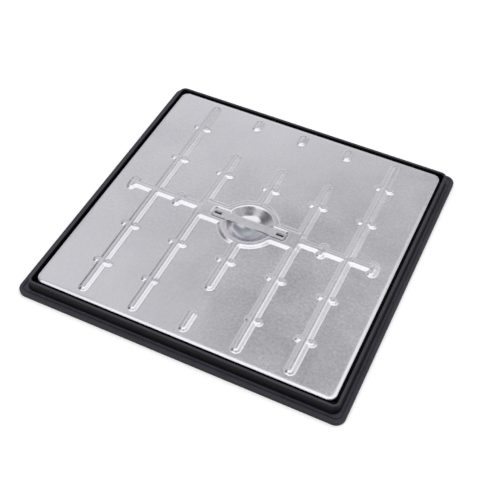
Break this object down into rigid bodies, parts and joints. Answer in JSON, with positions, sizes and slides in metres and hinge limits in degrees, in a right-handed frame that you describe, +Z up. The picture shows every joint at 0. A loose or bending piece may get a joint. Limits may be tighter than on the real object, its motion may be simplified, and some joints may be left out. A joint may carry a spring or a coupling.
{
  "type": "access cover",
  "caption": "Square access cover: a ribbed, pressed steel lid with a lifting strap across its dish, resting in a black plastic frame with a low flange.",
  "frame": {"origin": "middle of the frame's flat underside, on the surface it stands on", "axes": "+Z up out of the ground; +Y towards the lid edge with the bare marking band; +X along the lifting strap"},
  "size_m": [0.52, 0.52, 0.0257],
  "materials": {
    "frame_plastic": "black moulded polypropylene with a fine satin grain",
    "seal_foam": "closed-cell foam strip, matt",
    "galvanised_sheet": "galvanised sheet steel, softly mottled, satin",
    "galvanised_bar": "galvanised flat bar, satin"
  },
  "bodies": {
    "root": {"frame": "frame_plastic", "seal_strip": "seal_foam", "lid": "galvanised_sheet", "lift_strap": "galvanised_bar"}
  },
  "joints": []
}
